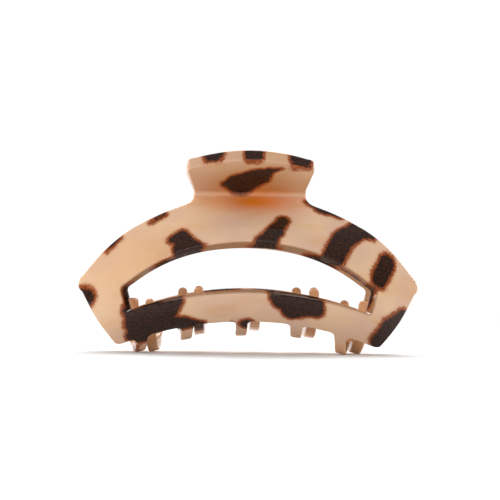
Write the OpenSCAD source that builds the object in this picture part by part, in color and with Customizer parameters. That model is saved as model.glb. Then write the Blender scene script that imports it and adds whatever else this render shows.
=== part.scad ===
// Large claw clip: two moulded acetate halves with interleaving teeth on a sprung hinge.
// Units are millimetres. +Z is up, the front half faces -Y, the hinge runs along X.
// The clip stands on its outer teeth at z = 0.

/* [Sheet] */
// Thickness of the acetate sheet
sheet_t = 4; // [3:0.1:5]
// Plan radius of each half at the bulge
plan_r = 70; // [60:1:120]
// How much the wings droop, per square millimetre of sideways distance
wing_droop = 0.0042; // [0:0.0002:0.006]

/* [Profile] */
// Height of the neck crease above the floor
crease_z = 49.2; // [40:0.1:60]
// Distance of the neck crease from the middle plane
crease_y = 10.6; // [8:0.1:14]
// Lean of the thumb tab from the vertical, degrees
tab_lean = 55; // [30:1:70]
// Lean of the shoulder below the neck, degrees
shoulder_lean = 50; // [30:1:60]
// Radius of the concave bend at the neck
bend_r = 1.2; // [0.8:0.1:3]
// Straight shoulder length below the bend
shoulder_l = 13.1; // [8:0.1:20]
// Radius of the bulge of the frame
bulge_r = 20; // [16:0.5:26]
// Length along the surface from the crease to where the teeth start to curl
bar_end = 46.6; // [40:0.1:52]
// Lower edge of the bar, past the start of the curl
bar_drop = 1.3; // [0:0.1:2]

/* [Outline] */
// Half width of the neck
neck_w = 16.9; // [12:0.1:22]
// Length of the thumb tab along its surface
tab_l = 16.9; // [12:0.1:24]
// Half width at the far corners
wing_w = 53.2; // [45:0.1:58]
// Half width at the lower corners
foot_w = 40.4; // [32:0.1:46]
// Half width of the window
window_w = 39.4; // [30:0.1:42]
// Surface distance from the crease to the window's top
window_top = 21.2; // [16:0.1:26]
// Surface distance from the crease to the window's lower edge
window_low = 37.3; // [30:0.1:40]

/* [Teeth] */
// Sideways distance of the second and fourth teeth from the middle one
pitch_in = 16.6; // [12:0.1:20]
// Sideways distance of the outer teeth from the middle one
pitch_out = 30.5; // [24:0.1:34]
// Sideways offset of each half's teeth, so that the halves interleave
tooth_shift = 2.25; // [1.8:0.05:3]
// Tooth width below its root
tooth_w = 3.6; // [2.5:0.1:5]
// Tooth width near the tip
tip_w = 2.7; // [2:0.1:4]

/* [Hinge] */
// Height of the hinge pin above the floor
pin_z = 42; // [36:0.1:46]
// Radius of the hinge pin
pin_r = 1.25; // [0.8:0.05:2]
// Radial running clearance of the moving knuckles
run_gap = 0.05; // [0.01:0.01:0.1]
// Radial squeeze of the pressed fits
press = 0.01; // [0:0.005:0.03]
// Radius of the knuckles
ear_r = 4.3; // [3:0.1:5]
// Width of each knuckle
ear_w = 3; // [2:0.1:4]
// Sideways distance from the middle to the nearer side of the inner knuckles
ear_in = 6.5; // [5:0.1:8]
// Sideways distance from the middle to the nearer side of the outer knuckles
ear_out = 10; // [9.7:0.1:12]
// Radius of the pin's head and of its cap
head_r = 2.4; // [1.8:0.1:3]
// Thickness of the pin's head and of its cap
head_t = 1.3; // [0.8:0.1:2]
// Mean radius of the spring coil
coil_r = 3.4; // [2.5:0.1:4]
// Radius of the spring wire
wire_r = 0.55; // [0.4:0.05:0.8]

/* [Hidden] */
neck_turn = (tab_lean + shoulder_lean) / 2;
mid_psi = tab_lean - neck_turn;
bend_l = bend_r * neck_turn * PI / 180;
straight_v = bend_l + shoulder_l;
teeth_x = [-pitch_out, -pitch_in, 0, pitch_in, pitch_out];
// how far each tooth stands above its rule, from left to right; the outer left tooth stands on the floor
lift_front = [0.11, 0.6, 0, 0.8, -1.105];
lift_back = [0.11, 1.2, 1.1, 1.0, -1.105];
// the spring's coil
turns = 5.5;
coil_half = 4.4;
// the cap's inner face, past the outer knuckles
pin_end = ear_out + ear_w + 0.3;
// narrowing of the thumb tab's first rows, for its round top corners
tab_round = [0.12, 0.06, 0.022, 0.004];

// smooth step from a to b
function fade(a, b, v) = let(t = min(1, max(0, (v - a) / (b - a)))) t * t * (3 - 2 * t);

// one arc of the profile: state is [y, z, angle from straight down]
function arc_on(st, s, k) =
    abs(k) < 0.000001
    ? [st[0] + s * sin(st[2]), st[1] - s * cos(st[2]), st[2]]
    : let(e = st[2] + k * s * 180 / PI)
      [st[0] + (cos(st[2]) - cos(e)) / k, st[1] - (sin(e) - sin(st[2])) / k, e];
function walk(st, arcs, i, s) =
    (i >= len(arcs) - 1 || s <= arcs[i][0])
    ? arc_on(st, s, arcs[i][1])
    : walk(arc_on(st, arcs[i][0], arcs[i][1]), arcs, i + 1, s - arcs[i][0]);

// arcs below the crease; the hooks of the outer teeth curl tighter
function tooth_side(x) = min(1, abs(x) / 30);
function bar_psi() = -shoulder_lean + (bar_end - straight_v) / bulge_r * 180 / PI;
function arcs_at(x) =
    let(q = tooth_side(x), ra = 16.4 - 3.4 * q, rb = 26 - 13.2 * q)
    [
        [bend_l, -1 / bend_r],
        [shoulder_l, 0],
        [bar_end - straight_v, 1 / bulge_r],
        [2.8 * q, 0],
        [ra * (90 - bar_psi()) * PI / 180, 1 / ra],
        [rb * (62 + 28 * q) * PI / 180, 1 / rb],
        [99, 0]
    ];
function tooth_len(x) =
    let(a = arcs_at(x))
    a[0][0] + a[1][0] + a[2][0] + a[3][0] + a[4][0] + a[5][0] + 7 * tooth_side(x) - 3.4;

// profile point at surface distance v from the crease, negative on the tab
function profile(x, v) =
    v >= 0
    ? walk([-crease_y, crease_z, mid_psi], arcs_at(x), 0, v)
    : let(w = walk([0, 0, mid_psi], [[bend_l, 1 / bend_r], [99, 0]], 0, -v))
      [-crease_y - w[0], crease_z - w[1], w[2]];

// outer surface of a half
function plan_back(x) = plan_r - sqrt(plan_r * plan_r - x * x);
function skin(x, v) =
    let(p = profile(x, v))
    [
        x * (1 + 0.08 * fade(50, 88, v)),
        p[0] + fade(0, 14, v) * plan_back(x),
        p[1] - fade(4, 40, v) * wing_droop * x * x
    ];
function facing(x, v) =
    let(n = cross(skin(x, v + 0.05) - skin(x, v - 0.05), skin(x + 0.05, v) - skin(x - 0.05, v)))
    n / norm(n);
function at_depth(x, v, d) = skin(x, v) - facing(x, v) * d;

// outlines in [x, v], right side, matched station by station
function mix(a, b, t) = a + (b - a) * t;
function shoulder_v(x) = 4.3 + 0.555 * (x - 19) + 0.003 * pow(x - 19, 2);
function bar_v(x) = bar_end + bar_drop + 0.0011 * x * x;
function win_top_v(x) = window_top + 0.0062 * x * x;
function win_low_v(x) = window_low + 0.0006 * x * x;
rim_right = concat(
    [for (i = [0:7]) [neck_w * i / 8, 0.4]],
    [[neck_w, 0.6], [neck_w + 0.3, 2.0], [neck_w + 1.1, 3.2]],
    [for (i = [0:9]) let(x = mix(neck_w + 2.1, wing_w - 2.8, i / 9)) [x, shoulder_v(x)]],
    [for (p = [[-1.4, 1.2], [-0.5, 2.2], [-0.6, 3.4]]) [wing_w + p[0], shoulder_v(wing_w - 2.8) + p[1]]],
    [for (i = [1:6])
        [mix(wing_w, foot_w, i / 7) - 0.07 * i * (7 - i) / 1.75, mix(26.2, bar_v(foot_w), i / 7)]],
    [[foot_w + 0.6, bar_v(foot_w) - 1], [foot_w - 1, bar_v(foot_w)]],
    [for (i = [1:12]) let(x = mix(foot_w - 1, 0, i / 12)) [x, bar_v(x)]]
);
win_right = concat(
    [for (i = [0:10]) let(x = 14 * i / 10) [x, win_top_v(x)]],
    [for (i = [0:10]) let(x = mix(15.5, window_w - 1.2, i / 10)) [x, win_top_v(x)]],
    [[window_w - 0.2, win_top_v(window_w) + 0.1], [window_w, win_top_v(window_w) + 0.8]],
    [for (i = [1:6]) [mix(window_w, 37.6, i / 7), mix(31.3, win_low_v(37.6) - 0.6, i / 7)]],
    [[37.6, win_low_v(37.6) - 0.4], [36.9, win_low_v(36.9)]],
    [for (i = [1:12]) let(x = mix(36.9, 0, i / 12)) [x, win_low_v(x)]]
);
function mirror_ring(r) = concat(r, [for (i = [len(r) - 2:-1:1]) [-r[i][0], r[i][1]]]);
rim = mirror_ring(rim_right);
win = mirror_ring(win_right);

// frame of a half: a ring of the sheet around the window
module frame_ring() {
    n = len(rim);
    m = 5;
    grid = [for (j = [0:m]) for (i = [0:n - 1]) mix(win[i], rim[i], j / m)];
    pts = concat(
        [for (g = grid) skin(g[0], g[1])],
        [for (g = grid) at_depth(g[0], g[1], sheet_t)]
    );
    h = n * (m + 1);
    faces = concat(
        [for (j = [0:m - 1]) for (i = [0:n - 1]) let(a = j * n + i, b = j * n + (i + 1) % n)
            each [[a, a + n, b], [b, a + n, b + n]]],
        [for (j = [0:m - 1]) for (i = [0:n - 1]) let(a = h + j * n + i, b = h + j * n + (i + 1) % n)
            each [[a, b, a + n], [b, b + n, a + n]]],
        [for (i = [0:n - 1]) let(a = i, b = (i + 1) % n)
            each [[a, b, a + h], [b, b + h, a + h]]],
        [for (i = [0:n - 1]) let(a = n * m + i, b = n * m + (i + 1) % n)
            each [[a, a + h, b], [b, a + h, b + h]]]
    );
    polyhedron(pts, faces, convexity = 12);
}

// closed slab of the sheet over a grid of [x, v, first depth, last depth]
module slab(g, na, nb) {
    pts = concat(
        [for (p = g) at_depth(p[0], p[1], p[2])],
        [for (p = g) at_depth(p[0], p[1], p[3])]
    );
    c = na + 1;
    h = c * (nb + 1);
    faces = concat(
        [for (b = [0:nb - 1]) for (a = [0:na - 1]) let(p = b * c + a)
            each [[p, p + 1, p + c], [p + 1, p + c + 1, p + c]]],
        [for (b = [0:nb - 1]) for (a = [0:na - 1]) let(p = h + b * c + a)
            each [[p, p + c, p + 1], [p + 1, p + c, p + c + 1]]],
        [for (a = [0:na - 1]) each [[a, a + h, a + 1], [a + 1, a + h, a + 1 + h]]],
        [for (a = [0:na - 1]) let(p = nb * c + a)
            each [[p, p + 1, p + h], [p + 1, p + 1 + h, p + h]]],
        [for (b = [0:nb - 1]) let(p = b * c) each [[p, p + c, p + h], [p + c, p + c + h, p + h]]],
        [for (b = [0:nb - 1]) let(p = b * c + na)
            each [[p, p + h, p + c], [p + c, p + h, p + c + h]]]
    );
    polyhedron(pts, faces, convexity = 6);
}

// thumb tab, from its top edge down into the frame
tab_rows = [0, 0.6, 1.8, 4, 7, 10, 12.6, 14.4, 15.2, 15.7, 16.2, 16.7, 17.2, 17.7, 18.4, 19.6];
function tab_side(v) = v < 0 ? neck_w - 0.1 + 0.23 * abs(v) : neck_w - 0.1;
module thumb_tab() {
    na = 16;
    nb = len(tab_rows) - 1;
    g = [for (b = [0:nb]) for (a = [0:na])
        let(
            s = -1 + 2 * a / na,
            top = -tab_l + 0.014 * pow(18.9 * s, 2),
            v = mix(top, 3, tab_rows[b] / 19.6),
            r = b < 4 ? 1 - tab_round[b] * pow(s, 6) : 1
        )
        [s * r * tab_side(v), v, 0.02, sheet_t - 0.02]];
    slab(g, na, nb);
}

// one hooked tooth, from inside the lower bar to its rounded tip
module tooth(x0, lift) {
    l = tooth_len(x0);
    rows = concat(
        [45.6, 47.6, 48.4, 49.6, 51.2, 53.5],
        [for (i = [0:6]) 57 + 3.5 * i],
        [l - 3.5, l - 1.6, l - 0.5, l]
    );
    n = len(rows) - 1;
    sec = [for (r = rows)
        let(
            root = max(0, 50.2 - r) / 3,
            end = r > l - 1.4 ? (r > l - 0.3 ? 0.42 : 0.8) : 1,
            w = (mix(tooth_w, tip_w, fade(50, l, r)) + 2.2 * min(1, root * root)) * end / 2,
            d = mix(sheet_t, 3.2, fade(55, l, r)) * (1 - end) / 2,
            t = mix(sheet_t, 3.2, fade(55, l, r)) - d,
            c = 0.7 * end,
            e = r < 48.2 ? 0.08 : 0
        )
        [for (p = [[-w, d + c], [c - w, d + e], [w - c, d + e], [w, d + c],
                   [w, t - c], [w - c, t - e], [c - w, t - e], [-w, t - c]])
            at_depth(x0 + p[0], r, p[1]) + [0, 0, lift * fade(47, 60, r)]]];
    pts = [for (s = sec) each s];
    faces = concat(
        [for (j = [0:n - 1]) for (i = [0:7]) let(a = j * 8 + i, b = j * 8 + (i + 1) % 8)
            each [[a, b, a + 8], [b, b + 8, a + 8]]],
        [for (i = [1:6]) [0, i + 1, i]],
        [for (i = [1:6]) [n * 8, n * 8 + i, n * 8 + i + 1]]
    );
    polyhedron(pts, faces, convexity = 6);
}

module half(lifts) {
    frame_ring();
    thumb_tab();
    for (i = [0:4]) tooth(teeth_x[i] - tooth_shift, lifts[i]);
}

module front_claw() {
    color([0.86, 0.68, 0.52])
    half(lift_front);
}

module back_claw() {
    color([0.80, 0.60, 0.43])
    rotate([0, 0, 180])
    half(lift_back);
}

// knuckle with its foot bonded to the inside of a half; x0 is its left side
module ear(x0, bore_r) {
    xm = x0 + ear_w / 2;
    high = at_depth(xm, 3.0, sheet_t - 0.8);
    low = at_depth(xm, 11.5, sheet_t - 0.8);
    color([0.78, 0.58, 0.40])
    difference() {
        union() {
            translate([x0, 0, pin_z]) rotate([0, 90, 0]) cylinder(r = ear_r, h = ear_w, $fn = 64);
            translate([x0, 0, 0]) rotate([90, 0, 90]) linear_extrude(ear_w)
            polygon([
                [high[1], high[2]], [-0.6, pin_z + ear_r - 0.25],
                [-0.6, pin_z - ear_r + 0.25], [low[1], low[2]]
            ]);
        }
        translate([x0 - 1, 0, pin_z]) rotate([0, 90, 0]) cylinder(r = bore_r, h = ear_w + 2, $fn = 64);
    }
}

module front_left_ear() {
    ear(-ear_out - ear_w, pin_r + run_gap);
}

module front_right_ear() {
    ear(ear_in, pin_r + run_gap);
}

module back_left_ear() {
    rotate([0, 0, 180])
    ear(ear_in, pin_r - press);
}

module back_right_ear() {
    rotate([0, 0, 180])
    ear(-ear_out - ear_w, pin_r - press);
}

// headed hinge pin
module hinge_pin() {
    color([0.75, 0.76, 0.78])
    translate([0, 0, pin_z])
    rotate([0, 90, 0])
    union() {
        translate([0, 0, -pin_end - 0.1]) cylinder(r = pin_r, h = 2 * pin_end + head_t + 0.3, $fn = 64);
        translate([0, 0, -pin_end - head_t]) cylinder(r = head_r, h = head_t, $fn = 64);
    }
}

// push-on cap on the pin's other end
module pin_cap() {
    color([0.70, 0.71, 0.74])
    translate([pin_end, 0, pin_z])
    rotate([0, 90, 0])
    difference() {
        cylinder(r = head_r, h = head_t, $fn = 64);
        translate([0, 0, -1]) cylinder(r = pin_r - press, h = head_t + 2, $fn = 64);
    }
}

// torsion spring: coil around the pin, one leg behind each thumb tab
leg_a = [for (v = [-11.5, -8, -4]) at_depth(-coil_half, v, sheet_t + wire_r + 0.12)];
leg_front = concat(leg_a, [[-coil_half, -6.2, 52.2], [-coil_half, -4.6, 48.6], [-coil_half, -3.6, 45]]);
coil_pts = [for (i = [0:round(turns * 16)])
    let(a = 180 + i * 360 / 16, x = -coil_half + 2 * coil_half * i / round(turns * 16))
    [x, coil_r * cos(a), pin_z - coil_r * sin(a)]];
leg_back = [for (i = [5:-1:0]) [-leg_front[i][0], -leg_front[i][1], leg_front[i][2]]];
wire_path = concat(leg_front, coil_pts, leg_back);

module torsion_spring() {
    n = len(wire_path) - 1;
    k = 8;
    color([0.62, 0.63, 0.66])
    polyhedron(
        [for (i = [0:n])
            let(
                d = wire_path[min(n, i + 1)] - wire_path[max(0, i - 1)],
                f = d / norm(d),
                u0 = cross(f, [1, 0.02, 0.01]),
                u = u0 / norm(u0),
                w = cross(f, u)
            )
            each [for (j = [0:k - 1])
                wire_path[i] + wire_r * (u * cos(j * 360 / k) + w * sin(j * 360 / k))]],
        concat(
            [for (i = [0:n - 1]) for (j = [0:k - 1])
                let(a = i * k + j, b = i * k + (j + 1) % k)
                each [[a, a + k, b], [b, a + k, b + k]]],
            [for (j = [1:k - 2]) [0, j, j + 1]],
            [for (j = [1:k - 2]) [n * k, n * k + j + 1, n * k + j]]
        ),
        convexity = 20
    );
}

front_claw();
back_claw();
front_left_ear();
front_right_ear();
back_left_ear();
back_right_ear();
hinge_pin();
pin_cap();
torsion_spring();
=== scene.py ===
"""Large tortoiseshell acetate claw clip, standing closed on its teeth.

Shapes are worked out in millimetres and radians, and turned into metres when a mesh is made. The frame
is the CAD's. Each half is a moulded sheet with its own coordinates: x runs sideways, v runs down the
outer face from the crease at the neck (so v is negative on the thumb tab), and depth goes in from it.
"""
import math

import bmesh
import bpy
import numpy as np
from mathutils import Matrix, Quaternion, Vector
from mathutils.geometry import delaunay_2d_cdt


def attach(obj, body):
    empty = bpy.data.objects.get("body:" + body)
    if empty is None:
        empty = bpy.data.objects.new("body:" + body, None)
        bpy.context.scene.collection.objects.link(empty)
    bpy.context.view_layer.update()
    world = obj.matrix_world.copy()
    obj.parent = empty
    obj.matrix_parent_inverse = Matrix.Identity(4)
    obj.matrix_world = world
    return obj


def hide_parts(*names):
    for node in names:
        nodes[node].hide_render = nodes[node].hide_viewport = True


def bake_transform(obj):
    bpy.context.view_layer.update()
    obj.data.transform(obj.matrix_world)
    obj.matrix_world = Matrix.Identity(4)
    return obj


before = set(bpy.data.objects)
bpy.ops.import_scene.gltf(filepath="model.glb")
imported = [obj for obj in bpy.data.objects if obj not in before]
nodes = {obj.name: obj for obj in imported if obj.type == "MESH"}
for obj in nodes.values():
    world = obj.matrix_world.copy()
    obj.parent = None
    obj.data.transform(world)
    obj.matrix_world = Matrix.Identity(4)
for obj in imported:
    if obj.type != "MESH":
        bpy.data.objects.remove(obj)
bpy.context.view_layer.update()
MM = 0.001
MIRROR = np.array([-1, 1])
HALF_TURN = np.array([-1, -1, 1])
TINY = 1e-9
ENDLESS = 99
CHUNK = 1000
scene = bpy.context.scene

# ---------------------------------------------------------------- the moulded sheet
SHEET = 4.0
PLAN_R = 70.0           # radius of each half seen from above
DROOP = 0.0042          # how far the wings droop, per square mm of sideways distance
CREASE_Z = 49.2
CREASE_Y = 10.6
TAB_LEAN = math.radians(55)
SHOULDER_LEAN = math.radians(50)
BEND_R = 1.2
SHOULDER_L = 13.1
BULGE_R = 20.0
BAR_END = 46.6          # v where the teeth start to curl
BEND_TURN = (TAB_LEAN + SHOULDER_LEAN) / 2
MID_PSI = TAB_LEAN - BEND_TURN      # slope at the crease, from the vertical
BEND_L = BEND_R * BEND_TURN
STRAIGHT_V = BEND_L + SHOULDER_L
PIN_Z = 42.0

# where along v each effect sets in, from none to all of it
PLAN_FADE = (0, 14)
DROOP_FADE = (4, 40)
LIFT_FADE = (47, 60)
SPLAY_FADE = (50, 88)
SPLAY = 0.08            # how much the teeth spread sideways

# teeth; a pair is the value at the middle tooth and its change out to HOOK_X
PITCH = (-30.5, -16.6, 0.0, 16.6, 30.5)
SHIFT = 2.25            # sideways offset that lets the two halves' teeth interleave
HOOK_X = 30             # sideways distance where a tooth has its full hook
LEAD_L = 2.8
CURL_R = (16.4, -3.4)
HOOK_R = (26, -13.2)
HOOK_TURN = (62, 28)
TAIL_GROWTH = 7         # how far an outer tooth runs on past the middle one's rule
TAIL_CUT = 3.4          # how far before the end of its hook the middle tooth stops
THIN_FROM = 55          # v where the teeth start to get thinner
THINNING = 0.8
SLOPE_STEP = 0.02
FRONT_LIFTS = (0.11, 0.6, 0, 0.8, -1.105)
BACK_LIFTS = (0.11, 1.2, 1.1, 1.0, -1.105)


def fade(a, b, v):
    """Smooth step from 0 at a to 1 at b."""
    t = np.clip((v - a) / (b - a), 0, 1)
    return t * t * (3 - 2 * t)


def arc(y, z, p, s, k):
    """Go on from (y, z) at slope p for a distance s with curvature k."""
    e = p + k * s
    flat = np.abs(k) < TINY
    kk = np.where(flat, 1.0, k)
    y2 = np.where(flat, y + s * np.sin(p), y + (np.cos(p) - np.cos(e)) / kk)
    z2 = np.where(flat, z - s * np.cos(p), z - (np.sin(e) - np.sin(p)) / kk)
    return y2, z2, e


def follow(y, z, s, stretches):
    """Run a distance s from (y, z) along (length, curvature) stretches, starting at the crease's slope."""
    p = np.full(s.shape, MID_PSI)
    for length, k in stretches:
        d = np.minimum(s, length)
        y, z, p = arc(y, z, p, d, k)
        s = s - d
    return y, z


def tooth_arcs(x):
    """The profile below the bar as (length, curvature) stretches; outer teeth hook in more tightly."""
    q = np.minimum(1, np.abs(x) / HOOK_X)
    bar_psi = -SHOULDER_LEAN + (BAR_END - STRAIGHT_V) / BULGE_R
    curl_r = CURL_R[0] + CURL_R[1] * q
    hook_r = HOOK_R[0] + HOOK_R[1] * q
    return [
        (LEAD_L * q, 0),
        (curl_r * (math.pi / 2 - bar_psi), 1 / curl_r),
        (hook_r * np.radians(HOOK_TURN[0] + HOOK_TURN[1] * q), 1 / hook_r),
        (ENDLESS, 0),
    ]


def tooth_len(x):
    """The v of a tooth's tip."""
    q = min(1, abs(x) / HOOK_X)
    curled = sum(length for length, _ in tooth_arcs(x)[:3])
    return BAR_END + float(curled) + TAIL_GROWTH * q - TAIL_CUT


def profile(x, v):
    """The outer face's y and z, before the plan curve, the droop and the teeth's lifts."""
    down = [
        (BEND_L, -1 / BEND_R),
        (SHOULDER_L, 0),
        (BAR_END - STRAIGHT_V, 1 / BULGE_R),
    ] + tooth_arcs(x)
    y, z = follow(-CREASE_Y, CREASE_Z, np.maximum(v, 0), down)
    up_y, up_z = follow(0, 0, np.maximum(-v, 0), [(BEND_L, 1 / BEND_R), (ENDLESS, 0)])
    return np.where(v < 0, -CREASE_Y - up_y, y), np.where(v < 0, CREASE_Z - up_z, z)


class Half:
    """One moulded half: maps sheet coordinates (x, v) to the front half's place, in mm."""

    def __init__(self, lifts):
        self.lifts = lifts
        self.teeth = [p - SHIFT for p in PITCH]

    def nearest_tooth(self, x):
        return np.abs(np.asarray(x)[..., None] - np.array(self.teeth)).argmin(-1)

    def skin(self, x, v):
        """Point of the outer face."""
        x = np.asarray(x, float)
        v = np.asarray(v, float)
        y, z = profile(x, v)
        y = y + fade(*PLAN_FADE, v) * (PLAN_R - np.sqrt(PLAN_R ** 2 - x * x))
        z = z - fade(*DROOP_FADE, v) * DROOP * x * x
        z = z + np.array(self.lifts)[self.nearest_tooth(x)] * fade(*LIFT_FADE, v)
        return np.stack([x * (1 + SPLAY * fade(*SPLAY_FADE, v)), y, z], -1)

    def frame_at(self, x, v):
        """Point, outward normal and the two surface tangents."""
        h = SLOPE_STEP
        sx = (self.skin(x + h, v) - self.skin(x - h, v)) / (2 * h)
        sv = (self.skin(x, v + h) - self.skin(x, v - h)) / (2 * h)
        n = np.cross(sv, sx)
        n /= np.linalg.norm(n, axis=-1, keepdims=True)
        return self.skin(x, v), n, sx, sv

    def thick(self, x, v):
        """Thickness of the sheet, which falls along the teeth."""
        lengths = np.array([tooth_len(t) for t in self.teeth])
        past = (v - THIN_FROM) / (lengths[self.nearest_tooth(x)] - THIN_FROM)
        return SHEET - THINNING * np.clip(past, 0, 1)


# ---------------------------------------------------------------- outline of the sheet, as (x, v)
NECK_W = 16.95
TAB_EDGE = 16.9         # length of the tab above the crease
TAB_EDGE_ARC = 0.014
TAB_EDGE_HALF = 16.8
TAB_CORNER = (20.1, -12.2)
TAB_SIDE_V = (-9.8, -1.0)
TAB_FLARE = 0.23
NECK_CORNER = (NECK_W, 3.2)
SHOULDER_X = (20.2, 50.2)
SHOULDER_TOP = (19, 4.3)
SHOULDER_FALL = 0.555
SHOULDER_ARC = 0.003
WING = (53.4, 26.0)
WING_CORNER = (54.7, 26.8)
FOOT = (40.4, 49.7)
FOOT_CORNER = (40.5, 50.0)
SIDE_HOLLOW = 2.0
SIDE_SPAN = (0.13, 0.90)
BAR_HALF = 37.6
BAR_DROP = 1.3          # lower edge of the bar, past BAR_END
BAR_ARC = 0.0011
TOOTH_HALF = 1.8
TIP_HALF = 1.34
TIP_L = 1.5
ROOT_R = 1.7            # size of the fillets at a tooth's root
FILLET_DIP = 0.1
BAR_STEP = 0.6
TAPER_FROM = 50
WINDOW_TOP = 21.2
WINDOW_TOP_ARC = 0.0062
WINDOW_TOP_HALF = 37.6
WINDOW_LOW = 37.3
WINDOW_LOW_ARC = 0.0006
WINDOW_LOW_HALF = 36.6
WINDOW_END = ((39.4, 31.6), (38.0, 36.6))
WINDOW_HIGH_CORNER = (39.7, 30.5)
WINDOW_LOW_CORNER = (37.7, 38.1)


def bezier(a, c, b, n=9):
    """Points between a and b on the curve with control point c, without its ends."""
    t = np.linspace(0, 1, n)[1:-1, None]
    a, b, c = np.array(a), np.array(b), np.array(c)
    return (1 - t) ** 2 * a + 2 * t * (1 - t) * c + t * t * b


def curve(xs, vs):
    return np.stack(np.broadcast_arrays(np.asarray(xs, float), np.asarray(vs, float)), -1)


def bar_v(x):
    """The v of the bar's lower edge."""
    return BAR_END + BAR_DROP + BAR_ARC * x * x


def shoulder_v(x):
    """The v of the arch's upper edge."""
    past = x - SHOULDER_TOP[0]
    return SHOULDER_TOP[1] + SHOULDER_FALL * past + SHOULDER_ARC * past ** 2


def upper_outline():
    """The right side, from the middle of the tab's top edge down to the foot."""
    x = np.linspace(0, TAB_EDGE_HALF, num=24)
    tab_top = curve(x, -TAB_EDGE + TAB_EDGE_ARC * x * x)
    v = np.linspace(*TAB_SIDE_V, num=16)
    tab_side = curve(NECK_W + TAB_FLARE * -v, v)
    x = np.linspace(*SHOULDER_X, num=40)
    shoulder = curve(x, shoulder_v(x))
    t = np.linspace(*SIDE_SPAN, num=30)
    side_x = WING[0] + (FOOT[0] - WING[0]) * t - SIDE_HOLLOW * t * (1 - t)
    side = curve(side_x, WING[1] + (FOOT[1] - WING[1]) * t)
    return np.concatenate([
        tab_top, bezier(tab_top[-1], TAB_CORNER, tab_side[0]), tab_side,
        bezier(tab_side[-1], NECK_CORNER, shoulder[0]), shoulder,
        bezier(shoulder[-1], WING_CORNER, side[0]), side,
    ])


def tooth_outline(at):
    """Round one tooth from right to left, with the fillets at its root."""
    root = bar_v(at)
    tip = tooth_len(at) - TIP_L
    v = np.linspace(root + ROOT_R, tip, num=70)
    half = TOOTH_HALF + (TIP_HALF - TOOTH_HALF) * fade(TAPER_FROM, tooth_len(at), v)
    a = np.linspace(0, math.pi, num=13)[1:-1]
    fillets = []
    for side in (1, -1):
        x = at + side * TOOTH_HALF
        far_x = x + side * ROOT_R
        fillets.append(((far_x, bar_v(far_x)), (x, root + FILLET_DIP), (x, root + ROOT_R)))
    right, left = fillets
    return [
        bezier(*right), curve(at + half, v),
        curve(at + TIP_HALF * np.cos(a), tip + TIP_L * np.sin(a)),
        curve(at - half[::-1], v[::-1]), bezier(*left[::-1]),
    ]


def frame_outline(half):
    """The outer edge of the sheet as a closed loop, from the middle of the tab's top edge to the right."""
    right = upper_outline()
    left = right[::-1] * MIRROR
    bottom = [bezier(right[-1], FOOT_CORNER, (BAR_HALF, bar_v(BAR_HALF)))]
    at = BAR_HALF
    for tooth in sorted(half.teeth, reverse=True):
        count = int((at - tooth - TOOTH_HALF - ROOT_R) / BAR_STEP)
        x = np.linspace(at, tooth + TOOTH_HALF + ROOT_R, max(3, count))
        bottom.append(curve(x, bar_v(x)))
        bottom += tooth_outline(tooth)
        at = tooth - TOOTH_HALF - ROOT_R
    x = np.linspace(at, -BAR_HALF, num=12)
    bottom.append(curve(x, bar_v(x)))
    bottom.append(bezier((-BAR_HALF, bar_v(BAR_HALF)), FOOT_CORNER * MIRROR, left[0]))
    return np.concatenate([right] + bottom + [left[:-1]])


def window_outline():
    """The edge of the crescent window as a closed loop."""
    x = np.linspace(-WINDOW_TOP_HALF, WINDOW_TOP_HALF, num=120)
    top = curve(x, WINDOW_TOP + WINDOW_TOP_ARC * x * x)
    end_r = np.linspace(*WINDOW_END, num=8)
    x = np.linspace(WINDOW_LOW_HALF, -WINDOW_LOW_HALF, num=110)
    low = curve(x, WINDOW_LOW + WINDOW_LOW_ARC * x * x)
    end_l = end_r[::-1] * MIRROR
    return np.concatenate([
        top, bezier(top[-1], WINDOW_HIGH_CORNER, end_r[0]), end_r,
        bezier(end_r[-1], WINDOW_LOW_CORNER, low[0]), low,
        bezier(low[-1], WINDOW_LOW_CORNER * MIRROR, end_l[0]), end_l,
        bezier(end_l[-1], WINDOW_HIGH_CORNER * MIRROR, top[0]),
    ])


# ---------------------------------------------------------------- meshing the sheet
ROUND = 0.62            # radius of the polished edges
ROUND_ANGLES = np.radians([22.5, 45, 67.5, 90])
EDGE_STEP = 0.46
BEND_STEP = 0.22        # closer spacing across the neck bend
MERGE = 1e-6
BEND_ZONE = (19, 2.4)   # how far the closer spacing reaches from the middle of the crease, in x and v
ROW = 0.85
COLUMN = 0.95
STAGGER = 0.47
TAB_ROWS = (-15.5, -1.9)
BEND_ROWS = (-1.76, 1.8)
FRAME_ROWS = (2.4, 48)
COLUMNS = (-51.5, 51.6)
CLEARANCE = 0.42        # least distance of a grid point from the edges
BEND_CLEARANCE = 0.3


def resample(loop):
    """Evenly spaced closed loop; closer together across the neck bend."""
    p = np.concatenate([loop, loop[:1]])
    keep = np.concatenate([[True], np.linalg.norm(np.diff(p, axis=0), axis=1) > MERGE])
    p = p[keep]
    mid = (p[1:] + p[:-1]) / 2
    bend = (np.abs(mid) < BEND_ZONE).all(1)
    w = np.linalg.norm(np.diff(p, axis=0), axis=1) / np.where(bend, BEND_STEP, EDGE_STEP)
    s = np.concatenate([[0], np.cumsum(w)])
    t = np.linspace(0, s[-1], int(round(s[-1])) + 1)[:-1]
    return np.stack([np.interp(t, s, p[:, 0]), np.interp(t, s, p[:, 1])], -1)


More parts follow.
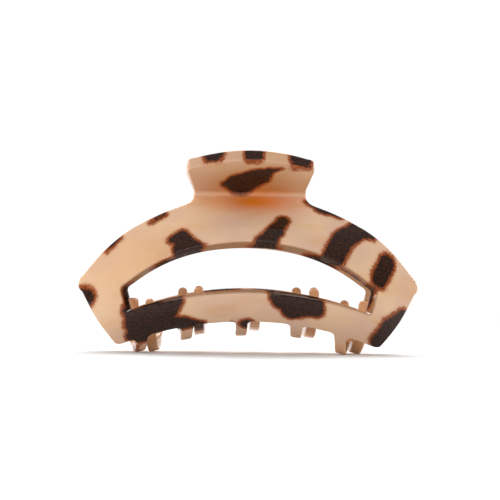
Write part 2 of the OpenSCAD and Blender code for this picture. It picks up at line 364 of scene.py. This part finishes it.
def inside(pts, loop):
    """Even-odd test of points against a closed loop."""
    a = loop
    b = np.roll(loop, -1, axis=0)
    out = np.zeros(len(pts), bool)
    for k in range(0, len(pts), CHUNK):
        q = pts[k:k + CHUNK]
        cross = (a[None, :, 1] > q[:, 1, None]) != (b[None, :, 1] > q[:, 1, None])
        with np.errstate(divide="ignore", invalid="ignore"):
            xi = (b[:, 0] - a[:, 0]) * (q[:, 1, None] - a[:, 1]) / (b[:, 1] - a[:, 1]) + a[:, 0]
        out[k:k + CHUNK] = (cross & (q[:, 0, None] < xi)).sum(1) % 2 == 1
    return out


def gap(pts, loop):
    """Distance from each point to the nearest point of a loop."""
    out = np.empty(len(pts))
    for k in range(0, len(pts), CHUNK):
        q = pts[k:k + CHUNK]
        out[k:k + CHUNK] = np.sqrt(((q[:, None, :] - loop[None]) ** 2).sum(-1)).min(1)
    return out


def edge_frame(half, loop, hole):
    """The loop moved in by the edges' radius, in (x, v), and the direction out of the material."""
    s, n, sx, sv = half.frame_at(loop[:, 0], loop[:, 1])
    along = np.roll(loop, -1, axis=0) - np.roll(loop, 1, axis=0)
    e = np.cross(n, np.roll(s, -1, axis=0) - np.roll(s, 1, axis=0))
    e /= np.linalg.norm(e, axis=1, keepdims=True)
    x, v = loop[:, 0], loop[:, 1]
    signed_area = 0.5 * np.sum(x * np.roll(v, -1) - np.roll(x, -1) * v)
    side = np.stack([along[:, 1], -along[:, 0]], -1) * (1 if signed_area > 0 else -1) * (-1 if hole else 1)
    outward = sx * side[:, :1] + sv * side[:, 1:]
    e *= np.sign((e * outward).sum(1, keepdims=True))
    g11 = (sx * sx).sum(1)
    g12 = (sx * sv).sum(1)
    g22 = (sv * sv).sum(1)
    b1 = -ROUND * (e * sx).sum(1)
    b2 = -ROUND * (e * sv).sum(1)
    det = g11 * g22 - g12 * g12
    inset = loop + np.stack([(g22 * b1 - g12 * b2) / det, (g11 * b2 - g12 * b1) / det], -1)
    return inset, e


def free_points(outer, hole):
    """Staggered grid of points between the two loops, with closer rows across the neck bend."""
    rows = np.concatenate([
        np.arange(*TAB_ROWS, ROW), np.arange(*BEND_ROWS, BEND_STEP), np.arange(*FRAME_ROWS, ROW),
    ])
    columns = np.arange(*COLUMNS, COLUMN)
    grid = np.stack(np.meshgrid(columns, rows), -1)
    grid[1::2, :, 0] += STAGGER
    grid = grid.reshape(-1, 2)
    grid = grid[inside(grid, outer) & ~inside(grid, hole)]
    clear = np.minimum(gap(grid, outer), gap(grid, hole))
    in_bend = np.abs(grid[:, 1]) < -TAB_ROWS[1]
    return grid[(clear > CLEARANCE) | (in_bend & (clear > BEND_CLEARANCE))]


def triangulate(outer, hole):
    """The sheet's points, its triangles, all wound alike, and where the loops' points ended up."""
    flat = np.concatenate([outer, hole, free_points(outer, hole)])
    no, nh = len(outer), len(hole)
    edges = [(i, (i + 1) % no) for i in range(no)] + [(no + i, no + (i + 1) % nh) for i in range(nh)]
    out = delaunay_2d_cdt([Vector(p) for p in flat], edges, [], 0, MERGE, True)
    co = np.array([tuple(p) for p in out[0]])
    tris = np.array([f for f in out[2] if len(f) == 3])
    where = np.full(len(flat), -1)
    for i, sources in enumerate(out[3]):
        where[sources] = i
    mid = co[tris].mean(1)
    tris = tris[inside(mid, outer) & ~inside(mid, hole)]
    a, b, c = co[tris[:, 0]], co[tris[:, 1]], co[tris[:, 2]]
    ccw = ((b[:, 0] - a[:, 0]) * (c[:, 1] - a[:, 1]) - (b[:, 1] - a[:, 1]) * (c[:, 0] - a[:, 0])) > 0
    tris[ccw] = tris[ccw][:, ::-1]
    return co, tris, where


def round_edge(p, n, e, thick):
    """Rings that round an edge from the outer face to the inner one: points, normals, depth, angle."""
    rings = []
    for lower, angles in ((False, ROUND_ANGLES), (True, ROUND_ANGLES[::-1])):
        d = thick - ROUND if lower else ROUND
        up = -1 if lower else 1
        for angle in angles:
            out = e * math.sin(angle) + n * up * math.cos(angle)
            depth = np.broadcast_to(d - up * ROUND * math.cos(angle), thick.shape)
            rings.append((p - n * d + ROUND * out, out, depth, angle))
    return rings


def smooth_object(name, points, faces):
    """Smooth-shaded object from points in mm, with every face turned outwards."""
    mesh = bpy.data.meshes.new(name)
    mesh.from_pydata([tuple(p) for p in points * MM], [], faces)
    mesh.update()
    bm = bmesh.new()
    bm.from_mesh(mesh)
    bmesh.ops.recalc_face_normals(bm, faces=bm.faces)
    bm.to_mesh(mesh)
    bm.free()
    mesh.polygons.foreach_set("use_smooth", [True] * len(mesh.polygons))
    obj = bpy.data.objects.new(name, mesh)
    scene.collection.objects.link(obj)
    return obj


def build_half(name, lifts, strokes, edge_patches, place):
    """Mesh of one half with its sheet coordinates, its dark patches and its window walls (the mask for
    their painted shade) as attributes.
    """
    half = Half(lifts)
    outer, e_outer = edge_frame(half, resample(frame_outline(half)), False)
    hole, e_hole = edge_frame(half, resample(window_outline()), True)
    co, tris, where = triangulate(outer, hole)
    top, n, _, _ = half.frame_at(co[:, 0], co[:, 1])
    t = half.thick(co[:, 0], co[:, 1])
    nv = len(co)
    pts = [top, top - n * t[:, None]]
    normals = [n, -n]
    sheet = [np.column_stack([co, 0 * t]), np.column_stack([co, t])]
    wall = [np.zeros(2 * nv)]
    faces = [tuple(f) for f in tris[:, ::-1]] + [tuple(f + nv) for f in tris]
    count = 2 * nv
    for start, loop, e, is_wall in ((0, outer, e_outer, 0.0), (len(outer), hole, e_hole, 1.0)):
        m = len(loop)
        ids = where[start:start + m]
        n0 = n[ids]
        e = e - n0 * (e * n0).sum(1, keepdims=True)
        e /= np.linalg.norm(e, axis=1, keepdims=True)
        rows = [ids]
        for ring, ring_normals, depth, angle in round_edge(top[ids], n0, e, t[ids][:, None]):
            pts.append(ring)
            normals.append(ring_normals)
            sheet.append(np.concatenate([loop, depth], 1))
            # mask of the window walls, which get painted shade in the material
            wall.append(np.full(m, is_wall * math.sin(angle) ** 2))
            rows.append(np.arange(count, count + m))
            count += m
        rows.append(ids + nv)
        for r0, r1 in zip(rows[:-1], rows[1:]):
            for i in range(m):
                j = (i + 1) % m
                faces.append((r0[i], r0[j], r1[j], r1[i]))
    sheet = np.concatenate(sheet)
    obj = smooth_object(name, np.concatenate(pts) * place, [tuple(int(i) for i in f) for f in faces])
    mesh = obj.data
    mesh.attributes.new("sheet", "FLOAT_VECTOR", "POINT").data.foreach_set("vector", sheet.ravel())
    field = blotch_field(sheet, strokes, edge_patches)
    mesh.attributes.new("blotch", "FLOAT", "POINT").data.foreach_set("value", field)
    mesh.attributes.new("wall", "FLOAT", "POINT").data.foreach_set("value", np.concatenate(wall))
    mesh.normals_split_custom_set_from_vertices([tuple(q) for q in np.concatenate(normals) * place])
    return obj


# ---------------------------------------------------------------- tortoiseshell pattern
# Dark patches of the front half, as brush strokes on the unrolled sheet: each dab is (x, v, half width)
# in mm. Their first places were measured in the photo, and they were then moved.
FRONT_SPOTS = [
    # thumb tab
    [(-7.4, -4.4, 1.8), (-3.0, -4.7, 5.2), (2.4, -8.5, 4.2), (5.8, -11.4, 1.8), (9.4, -12.6, 0.6)],
    # arch, from the left to the right
    [(-52.0, 29.5, 2.0), (-49.6, 31.0, 2.7)],
    [(-43.8, 20.8, 0.7), (-40.2, 17.6, 1.1)],
    [(-30.4, 13.2, 0.8), (-26.4, 9.8, 1.2)],
    [(-24.0, 19.8, 1.5), (-20.6, 18.6, 2.4), (-19.4, 22.6, 4.4), (-14.0, 23.4, 1.6)],
    [(10.0, 12.2, 2.2), (7.4, 17.4, 3.0), (3.0, 21.4, 2.2)],
    [(6.6, 18.0, 2.4), (5.2, 23.6, 3.6)],
    [(17.6, 3.2, 1.2), (22.4, 6.8, 2.0), (28.4, 9.8, 1.1)],
    [(38.0, 16.8, 1.2), (33.4, 14.4, 3.6), (28.4, 18.6, 3.8), (25.2, 24.6, 3.6)],
    [(42.2, 23.6, 2.9), (39.7, 27.7, 2.7)],
    # lower bar
    [(-36.5, 37.0, 2.6), (-33.0, 41.5, 5.4), (-26.6, 40.5, 5.4), (-24.4, 37.6, 4.6)],
    [(-32.5, 46.0, 5.4), (-28.0, 46.2, 5.6), (-20.6, 46.4, 3.0), (-14.0, 47.6, 1.2)],
    [(-0.8, 48.6, 2.5)],
    [(-5.4, 48.4, 0.9)],
    [(10.2, 38.0, 4.6), (18.2, 38.8, 4.6), (20.0, 40.8, 3.0)],
    [(12.4, 42.4, 3.2), (18.0, 40.2, 3.6)],
    [(47.8, 34.6, 1.8), (44.0, 40.0, 3.4), (40.6, 47.0, 3.6)],
    # left outer tooth
    [(-35.4, 52.0, 1.6), (-35.4, 62.0, 2.0)],
]
# Patches that only show on an edge: centre (x, v, depth) and reach (x, v, depth), in mm.
FRONT_EDGES = [
    ((-11.4, -15.3, 3.1), (3.7, 2.6, 2.7)),
    ((0.8, -16.8, 2.5), (3.3, 2.6, 2.6)),
    ((15.0, -13.8, 2.5), (3.9, 2.8, 2.5)),
    ((-39.0, 33.5, 2.9), (2.6, 5.6, 2.3)),
    ((-27.0, 25.7, 2.6), (4.8, 2.4, 2.1)),
    ((4.5, 21.3, 2.6), (5.4, 1.8, 1.9)),
    ((22.0, 24.2, 2.8), (6.2, 2.0, 1.8)),
    ((30.5, 26.9, 3.4), (2.4, 1.6, 1.1)),
    ((33.5, 28.3, 2.9), (2.8, 2.0, 1.7)),
    ((39.0, 33.0, 3.2), (2.2, 4.6, 1.7)),
    ((-9.0, 37.4, 3.8), (5.6, 1.1, 1.2)),
    ((24.5, 37.6, 3.6), (2.8, 0.9, 0.9)),
    ((44.0, 19.5, 3.2), (7.0, 2.0, 1.2)),
]
# The back half is cut from another part of the sheet. Its patches can't be seen and are invented.
BACK_SPOTS = [
    [(-12.0, -5.5, 2.4), (-9.5, -10.5, 3.0)],
    [(3.5, -5.0, 2.2), (10.5, -7.6, 2.6)],
    [(-44.0, 26.0, 2.6), (-40.0, 23.2, 3.4)],
    [(-24.5, 15.0, 2.8), (-28.6, 21.5, 3.6)],
    [(-6.8, 16.0, 2.6), (-1.0, 10.8, 2.8)],
    [(20.0, 16.4, 3.0), (16.6, 22.0, 3.6)],
    [(37.6, 18.6, 2.4), (38.6, 24.0, 3.4)],
    [(48.8, 32.0, 3.0)],
    [(-33.5, 42.5, 4.6), (-30.5, 44.5, 4.4)],
    [(-9.0, 40.5, 3.8), (-3.6, 40.0, 3.6)],
    [(19.0, 43.4, 3.8), (26.4, 44.6, 5.2)],
    [(14.4, 69.0, 1.6), (14.4, 76.0, 1.8)],
]
BACK_EDGES = [
    ((-12.0, -15.0, 2.5), (4.0, 2.4, 2.2)),
    ((9.0, 37.4, 3.6), (6.0, 1.2, 1.4)),
    ((-24.0, 24.5, 2.6), (6.0, 2.2, 2.0)),
    ((38.5, 33.0, 2.8), (2.4, 4.6, 2.2)),
]
SLANT = np.array([0.30, -0.22])     # how far a patch shifts in x and v per mm of depth
FAR_OUTSIDE = -9.0
BOX_POWER = 4
EDGE_STEEPNESS = 1.6


def stroke_depth(pts, stroke):
    """How far inside a brush stroke each point is, in mm; negative outside."""
    best = np.full(len(pts), -1e9)
    for start, end in zip(stroke[:1] + stroke, stroke):
        a, b = np.array(start), np.array(end)
        step = b[:2] - a[:2]
        t = np.clip(((pts - a[:2]) @ step) / max(step @ step, TINY), 0, 1)
        away = np.linalg.norm(pts - a[:2] - t[:, None] * step, axis=1)
        best = np.maximum(best, a[2] + t * (b[2] - a[2]) - away)
    return best


def blotch_field(sheet, strokes, edge_patches):
    """Distance in mm into the nearest dark patch, positive inside; the patches slant through the sheet."""
    slanted = sheet[:, :2] + sheet[:, 2:] * SLANT
    best = np.full(len(sheet), FAR_OUTSIDE)
    for stroke in strokes:
        best = np.maximum(best, stroke_depth(slanted, stroke))
    for centre, reach in edge_patches:
        away = np.abs((sheet - np.array(centre)) / np.array(reach))
        k = (away ** BOX_POWER).sum(1) ** (1 / BOX_POWER)
        best = np.maximum(best, (1 - k) * min(reach) * EDGE_STEEPNESS)
    return best


front = build_half("front_shell", FRONT_LIFTS, FRONT_SPOTS, FRONT_EDGES, 1)
back = build_half("back_shell", BACK_LIFTS, BACK_SPOTS, BACK_EDGES, HALF_TURN)
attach(front, "front_half")
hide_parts("front_claw")
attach(back, "back_half")
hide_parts("back_claw")


# ---------------------------------------------------------------- materials
class Shader:
    """Small helper to wire a node material."""

    def __init__(self, name):
        self.mat = bpy.data.materials.new(name)
        self.mat.use_nodes = True
        self.tree = self.mat.node_tree
        self.out = self.tree.nodes["Principled BSDF"]

    def node(self, kind, **values):
        n = self.tree.nodes.new(kind)
        for k, v in values.items():
            setattr(n, k, v)
        return n

    def put(self, socket, value):
        """Link another node's output, or set a value."""
        if isinstance(value, bpy.types.NodeSocket):
            self.tree.links.new(value, socket)
        elif isinstance(value, tuple) and socket.type == "RGBA":
            socket.default_value = (*value, 1)
        else:
            socket.default_value = value

    def math(self, op, a, b=0.0, c=0.0):
        n = self.node("ShaderNodeMath", operation=op)
        for socket, v in zip(n.inputs, (a, b, c)):
            self.put(socket, v)
        return n.outputs[0]

    def add(self, a, b):
        return self.math("ADD", a, b)

    def times(self, a, b):
        return self.math("MULTIPLY", a, b)

    def step(self, value, low, high, to_low=0.0, to_high=1.0):
        n = self.node("ShaderNodeMapRange", interpolation_type="SMOOTHSTEP")
        for socket, v in zip(n.inputs, (value, low, high, to_low, to_high)):
            self.put(socket, v)
        return n.outputs[0]

    def noise(self, vector, scale, detail=2.0, rough=0.5, distortion=0.0):
        n = self.node("ShaderNodeTexNoise")
        self.put(n.inputs["Vector"], vector)
        n.inputs["Scale"].default_value = scale
        n.inputs["Detail"].default_value = detail
        n.inputs["Roughness"].default_value = rough
        n.inputs["Distortion"].default_value = distortion
        return n.outputs[0]

    def scaled(self, vector, by):
        n = self.node("ShaderNodeVectorMath", operation="MULTIPLY")
        self.put(n.inputs[0], vector)
        n.inputs[1].default_value = by
        return n.outputs[0]

    def mix(self, factor, a, b):
        n = self.node("ShaderNodeMix", data_type="RGBA")
        self.put(n.inputs["Factor"], factor)
        self.put(n.inputs[6], a)
        self.put(n.inputs[7], b)
        return n.outputs[2]

    def lobe(self, x, v, centre, reach):
        """Soft round mask on the sheet."""
        a = self.math("DIVIDE", self.math("SUBTRACT", x, centre[0]), reach[0])
        b = self.math("DIVIDE", self.math("SUBTRACT", v, centre[1]), reach[1])
        r = self.add(self.times(a, a), self.times(b, b))
        return self.math("EXPONENT", self.times(r, -1.0))

    def bump(self, height, strength, distance):
        n = self.node("ShaderNodeBump")
        n.inputs["Strength"].default_value = strength
        n.inputs["Distance"].default_value = distance
        self.put(n.inputs["Height"], height)
        self.put(self.out.inputs["Normal"], n.outputs[0])

    def attribute(self, name):
        return self.node("ShaderNodeAttribute", attribute_name=name)

    def position(self):
        """Object coordinates in mm."""
        return self.scaled(self.node("ShaderNodeTexCoord").outputs["Object"], (1000, 1000, 1000))


CREAM = (0.71, 0.475, 0.30)
BLUSH = (0.66, 0.435, 0.31)
AMBER = (0.62, 0.32, 0.12)
HONEY = (0.74, 0.41, 0.18)
TAN = (0.43, 0.19, 0.062)
# painted glow: orange light through the neck, painted into the colour
PAINTED_GLOW = (0.66, 0.17, 0.012)
# painted shade for the window's inner walls
WALL_SHADE_BROWN = (0.36, 0.19, 0.095)
TOOTH_HONEY = (0.74, 0.40, 0.19)
HALO = (0.52, 0.17, 0.05)
RUST = (0.42, 0.095, 0.020)
DARK_RUST = (0.15, 0.035, 0.010)
UMBER = (0.070, 0.020, 0.007)
BLACK = (0.013, 0.0055, 0.0035)


def cream_base(sh, at):
    """Clouded cream with faint amber wisps."""
    cloud = sh.noise(at, scale=0.055)
    wisp = sh.noise(sh.scaled(at, (0.4, 1.0, 1.0)), scale=0.16, detail=3.0)
    base = sh.mix(sh.step(cloud, 0.40, 0.62), BLUSH, CREAM)
    return sh.mix(sh.times(sh.step(wisp, 0.46, 0.70), 0.35), base, AMBER)


def sheet_tints(sh, at, base):
    """Tan thumb tab, a painted glow of light through the neck, warm left wing, window walls darkened brown
    with painted shade, honey teeth.
    """
    split = sh.node("ShaderNodeSeparateXYZ")
    sh.put(split.inputs[0], at)
    x, v = split.outputs[:2]
    on_tab = sh.step(v, 1.2, -1.5)
    tan = sh.times(on_tab, sh.lobe(x, v, centre=(0.0, -4.0), reach=(19.0, 12.0)))
    base = sh.mix(tan, base, TAN)
    # painted glow: orange light shining through the neck, painted into the colour just below the crease
    base = sh.mix(sh.lobe(x, v, centre=(1.0, 3.2), reach=(13.0, 5.2)), base, PAINTED_GLOW)
    warm = sh.lobe(x, v, centre=(-33.0, 24.0), reach=(14.0, 9.0))
    base = sh.mix(sh.times(warm, 0.45), base, HONEY)
    wall = sh.attribute("wall").outputs["Fac"]
    # painted shade: the window's inner walls are darkened to brown as if in shade
    base = sh.mix(sh.times(wall, 0.95), base, WALL_SHADE_BROWN)
    return sh.mix(sh.times(sh.step(v, 49.0, 58.0), 0.8), base, TOOTH_HONEY)


def dark_patches(sh, at, field, base):
    """Dark patches with a ragged rusty rim and a faint warm halo, where field rises above 0."""
    wave = sh.math("MULTIPLY_ADD", sh.noise(at, scale=0.42, detail=3.0, rough=0.6), 2.6, -1.3)
    fray = sh.math("MULTIPLY_ADD", sh.noise(at, scale=2.3, detail=3.0, rough=0.7), 2.0, -1.0)
    edge = sh.add(field, sh.times(wave, 0.55))
    rough_edge = sh.add(edge, fray)
    grain = sh.noise(at, scale=3.4, rough=0.6)
    speck = sh.step(sh.noise(at, scale=1.9, detail=3.0, rough=0.75, distortion=0.6), 0.46, 0.58)
    dark = sh.mix(sh.times(speck, 0.70), BLACK, UMBER)
    rust = sh.mix(sh.step(grain, 0.40, 0.62), RUST, DARK_RUST)
    color = sh.mix(sh.times(sh.step(edge, -1.6, 0.2), 0.25), base, HALO)
    color = sh.mix(sh.step(rough_edge, -0.75, 0.05), color, rust)
    return sh.mix(sh.step(rough_edge, 0.15, 0.85), color, dark)


def acetate(name, on_sheet):
    """Cream and dark-brown tortoiseshell acetate, polished."""
    sh = Shader(name)
    if on_sheet:
        at = sh.attribute("sheet").outputs["Vector"]
        field = sh.attribute("blotch").outputs["Fac"]
        base = sheet_tints(sh, at, cream_base(sh, at))
    else:
        at = sh.position()
        field = sh.math("MULTIPLY_ADD", sh.noise(at, scale=0.16, detail=1.0), 14.0, -9.2)
        base = cream_base(sh, at)
    sh.put(sh.out.inputs["Base Color"], dark_patches(sh, at, field, base))
    polish = sh.noise(at, scale=0.7, detail=3.0)
    sh.put(sh.out.inputs["Roughness"], sh.step(polish, 0.3, 0.7, 0.055, 0.10))
    sh.bump(sh.noise(at, scale=0.33), strength=0.05, distance=0.0004)
    sh.out.inputs["IOR"].default_value = 1.49
    sh.out.inputs["Coat Weight"].default_value = 0.15
    sh.out.inputs["Coat Roughness"].default_value = 0.03
    sh.out.inputs["Subsurface Weight"].default_value = 0.12
    sh.out.inputs["Specular IOR Level"].default_value = 0.20
    sh.out.inputs["Subsurface Radius"].default_value = (1.0, 0.45, 0.2)
    sh.out.inputs["Subsurface Scale"].default_value = 0.0022
    return sh.mat


def metal(name, rgb, rough, grain):
    """Steel with fine marks, stretched by grain, and a slightly uneven shine."""
    sh = Shader(name)
    at = sh.position()
    marks = sh.noise(sh.scaled(at, grain), scale=2.0, detail=4.0, rough=0.7)
    patch = sh.noise(at, scale=0.5, detail=3.0)
    tint = sh.mix(sh.step(patch, 0.35, 0.7), rgb, tuple(0.72 * c for c in rgb))
    sh.put(sh.out.inputs["Base Color"], tint)
    sh.out.inputs["Metallic"].default_value = 1.0
    sh.put(sh.out.inputs["Roughness"], sh.step(marks, 0.3, 0.7, rough, rough + 0.16))
    sh.bump(marks, strength=0.25, distance=0.00004)
    return sh.mat


shell_skin = acetate("acetate_tortoise", True)
ear_skin = acetate("acetate_knuckle", False)
steel_skin = metal("steel_polished", (0.62, 0.62, 0.64), rough=0.16, grain=(0.4, 3.0, 3.0))
spring_skin = metal("steel_spring_wire", (0.50, 0.50, 0.53), rough=0.22, grain=(1.0, 1.0, 1.0))
front.data.materials.append(shell_skin)
back.data.materials.append(shell_skin)

# ---------------------------------------------------------------- hinge pieces
EAR_BEVEL = 0.35
STEEL_BEVEL = 0.30
for key, skin, width in (
    ("front_left_ear", ear_skin, EAR_BEVEL), ("front_right_ear", ear_skin, EAR_BEVEL),
    ("back_left_ear", ear_skin, EAR_BEVEL), ("back_right_ear", ear_skin, EAR_BEVEL),
    ("hinge_pin", steel_skin, STEEL_BEVEL), ("pin_cap", steel_skin, STEEL_BEVEL),
):
    piece = nodes[key]
    piece.data.materials.clear()
    piece.data.materials.append(skin)
    bevel = piece.modifiers.new("rounded", "BEVEL")
    bevel.width = width * MM
    bevel.segments = 3
    bevel.limit_method = "ANGLE"
    bevel.angle_limit = math.radians(40)
    bevel.harden_normals = True

# ---------------------------------------------------------------- torsion spring
WIRE_R = 0.55
WIRE_SIDES = 14
COIL_R = 3.4
COIL_HALF = 4.4
TURNS = 5.5
TURN_STEPS = 36
LEG_GAP = 0.12
LEG_STEPS = 8
# the wire's rounded ends: how far a ring lies beyond the end, and its size, in wire radii
WIRE_ENDS = ((0.45, 0.55), (0.2, 0.85))


def through(key, steps):
    """Smooth curve through the points, from the second to the last but one."""
    out = []
    for p0, p1, p2, p3 in zip(key[:-3], key[1:-2], key[2:-1], key[3:]):
        for t in np.arange(steps) / steps:
            out.append(0.5 * (2 * p1 + (p2 - p0) * t + (2 * p0 - 5 * p1 + 4 * p2 - p3) * t ** 2
                              + (3 * p1 - p0 - 3 * p2 + p3) * t ** 3))
    return np.array(out)


def spring_path():
    """Wire centre line, mm: front leg behind the tab, coil, back leg."""
    x = np.full(3, -COIL_HALF)
    v = np.array([-11.5, -8.0, -4.0])
    p, n, _, _ = Half((0,) * len(PITCH)).frame_at(x, v)
    leg = [tuple(q) for q in p - n * (SHEET + WIRE_R + LEG_GAP)]
    leg += [(-COIL_HALF, -6.2, 52.2), (-COIL_HALF, -4.6, 48.6), (-COIL_HALF, -3.6, 45.0)]
    leg = np.array(leg)
    count = round(TURNS * TURN_STEPS)
    i = np.arange(count + 1)
    a = math.pi + i * 2 * math.pi / TURN_STEPS
    coil_x = -COIL_HALF + 2 * COIL_HALF * i / count
    coil = np.stack([coil_x, COIL_R * np.cos(a), PIN_Z - COIL_R * np.sin(a)], -1)
    # an extra point at each end sets the direction there: straight at the tip, along the coil at its start
    tip = 2 * leg[0] - leg[1]
    key = np.concatenate([[tip], leg, coil[:1], coil[5:6]])
    front_leg = through(key, LEG_STEPS)
    back_leg = (front_leg * HALF_TURN)[::-1]
    return np.concatenate([front_leg, coil, back_leg])


def sweep(name, path, radius, sides):
    """Round wire along a path, with rounded ends."""
    d = np.gradient(path, axis=0)
    d /= np.linalg.norm(d, axis=1, keepdims=True)
    u = np.cross(d, np.array([1, 0.02, 0.01]))
    u /= np.linalg.norm(u, axis=1, keepdims=True)
    w = np.cross(d, u)
    last = len(path) - 1
    rings = [(path[0] - beyond * radius * d[0], size, 0) for beyond, size in WIRE_ENDS]
    rings += [(p, 1.0, i) for i, p in enumerate(path)]
    rings += [(path[last] + beyond * radius * d[last], size, last) for beyond, size in WIRE_ENDS[::-1]]
    a = np.arange(sides) * 2 * math.pi / sides
    verts = []
    for centre, size, i in rings:
        verts.append(centre + radius * size * (np.cos(a)[:, None] * u[i] + np.sin(a)[:, None] * w[i]))
    faces = []
    for r in range(len(rings) - 1):
        for k in range(sides):
            m = (k + 1) % sides
            faces.append((r * sides + k, r * sides + m, (r + 1) * sides + m, (r + 1) * sides + k))
    faces.append(tuple(range(sides))[::-1])
    faces.append(tuple(range((len(rings) - 1) * sides, len(rings) * sides)))
    return smooth_object(name, np.concatenate(verts), faces)


spring = sweep("spring_wire", spring_path(), WIRE_R, WIRE_SIDES)
spring.data.materials.append(spring_skin)
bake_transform(spring)
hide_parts("torsion_spring")

# ---------------------------------------------------------------- floor, light, camera (metres)
bpy.ops.mesh.primitive_plane_add(size=2, location=(0, -0.5, 0))
floor = bpy.context.object
floor.name = "floor"
paper = Shader("floor_paper")
paper.put(paper.out.inputs["Base Color"], (0.80, 0.80, 0.80))
paper.put(paper.out.inputs["Roughness"], 0.75)
floor.data.materials.append(paper.mat)

# surroundings: white behind the clip, darker in front of it, and a little lighter above
world = bpy.data.worlds.new("studio") if scene.world is None else scene.world
scene.world = world
world.use_nodes = True
sky = world.node_tree
direction = sky.nodes.new("ShaderNodeTexCoord")
parts = sky.nodes.new("ShaderNodeSeparateXYZ")
sky.links.new(direction.outputs["Generated"], parts.inputs[0])


def sky_step(value, low, high, to_low, to_high):
    n = sky.nodes.new("ShaderNodeMapRange")
    n.interpolation_type = "SMOOTHSTEP"
    sky.links.new(value, n.inputs[0])
    for socket, v in zip(n.inputs[1:5], (low, high, to_low, to_high)):
        socket.default_value = v
    return n.outputs[0]


behind = sky_step(parts.outputs["Y"], low=0.30, high=0.95, to_low=0.26, to_high=1.02)
above = sky_step(parts.outputs["Z"], low=0.20, high=0.90, to_low=0.0, to_high=0.30)
total = sky.nodes.new("ShaderNodeMath")
total.operation = "ADD"
sky.links.new(behind, total.inputs[0])
sky.links.new(above, total.inputs[1])
sky.nodes["Background"].inputs["Color"].default_value = (1, 1, 1, 1)
sky.links.new(total.outputs[0], sky.nodes["Background"].inputs["Strength"])

LIT_POINT = Vector((0, 0, 0.03))


def softbox(name, width, height, place, power):
    """Rectangular area light turned towards the clip."""
    data = bpy.data.lights.new(name, "AREA")
    data.energy = power
    data.shape = "RECTANGLE"
    data.size = width
    data.size_y = height
    light = bpy.data.objects.new(name, data)
    scene.collection.objects.link(light)
    light.location = place
    light.rotation_euler = (LIT_POINT - Vector(place)).to_track_quat("-Z", "Y").to_euler()


softbox("top_soft", width=0.7, height=0.30, place=(0.0, 0.50, 0.80), power=7.0)
softbox("front_soft", width=1.3, height=0.7, place=(-0.20, -1.05, 0.55), power=7.2)
softbox("left_soft", width=0.35, height=0.6, place=(-0.95, -0.45, 0.30), power=0.4)
softbox("right_box", width=0.26, height=0.36, place=(0.68, 0.38, 0.16), power=3.6)
softbox("left_box", width=0.26, height=0.36, place=(-0.68, 0.38, 0.16), power=3.2)

YAW = math.radians(-1.5)
ELEVATION = math.radians(-0.2)
ROLL = math.radians(0.7)
DISTANCE = 1.0
SEEN_WIDTH = 0.1553     # width of the view at the target
SENSOR = 36
target = Vector((0.0005, 0, 0.032))
away = Vector((
    math.sin(YAW) * math.cos(ELEVATION), -math.cos(YAW) * math.cos(ELEVATION), math.sin(ELEVATION),
))
cam_data = bpy.data.cameras.new("photo_camera")
cam = bpy.data.objects.new("photo_camera", cam_data)
scene.collection.objects.link(cam)
cam.location = target + DISTANCE * away
aim = (target - cam.location).to_track_quat("-Z", "Y")
cam.rotation_euler = (aim @ Quaternion((0, 0, 1), ROLL)).to_euler()
cam_data.sensor_width = SENSOR
cam_data.lens = SENSOR * DISTANCE / SEEN_WIDTH
cam_data.clip_start = 0.01
scene.camera = cam

scene.view_settings.view_transform = "Standard"
